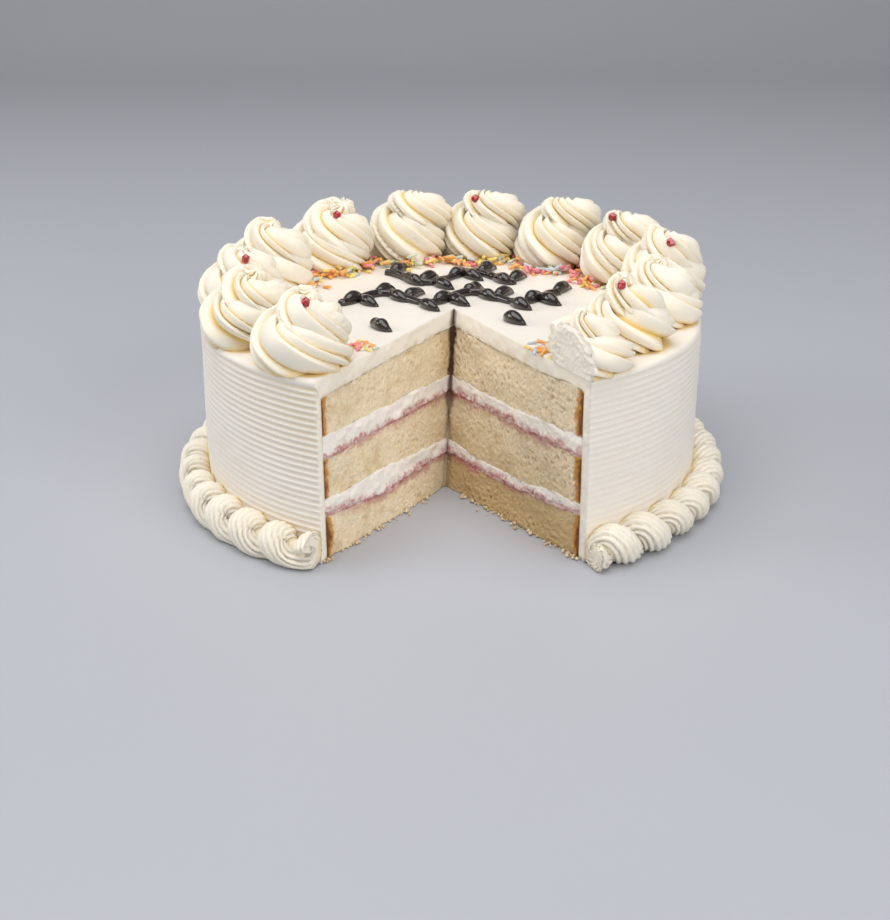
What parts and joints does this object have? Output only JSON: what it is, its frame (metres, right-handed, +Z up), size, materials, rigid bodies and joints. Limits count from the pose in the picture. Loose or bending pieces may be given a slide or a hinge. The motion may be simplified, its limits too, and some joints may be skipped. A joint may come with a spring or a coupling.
{
  "type": "layer cake",
  "caption": "Round iced sponge layer cake with a wedge cut out, combed side, piped swirls round the top edge, piped foot border and sugar strands.",
  "frame": {"origin": "on the cake's vertical axis, at the level of the flat underside it stands on", "axes": "+Z up; the missing wedge opens towards -Y; +X to the right when the wedge faces the viewer"},
  "size_m": [0.2257, 0.2085, 0.1025],
  "materials": {
    "icing": "smooth whipped buttercream, ivory white, soft satin sheen",
    "cream": "whipped cream filling, off-white, matt",
    "sponge": "open-crumb pale vanilla sponge, dry and matt, browned thin crust at the rim",
    "jam": "thin raspberry jam, moist, soaking into the sponge"
  },
  "bodies": {
    "root": {"sponge_bottom": "sponge", "jam_lower": "jam", "cream_lower": "cream", "sponge_middle": "sponge", "jam_upper": "jam", "cream_upper": "cream", "sponge_top": "sponge", "icing": "icing", "border": "icing", "rosette_01": "icing", "rosette_02": "icing", "rosette_03": "icing", "rosette_04": "icing", "rosette_05": "icing", "rosette_06": "icing", "rosette_07": "icing", "rosette_08": "icing", "rosette_09": "icing", "rosette_10": "icing", "rosette_11": "icing", "rosette_12": "icing", "rosette_13": "icing"}
  },
  "joints": []
}
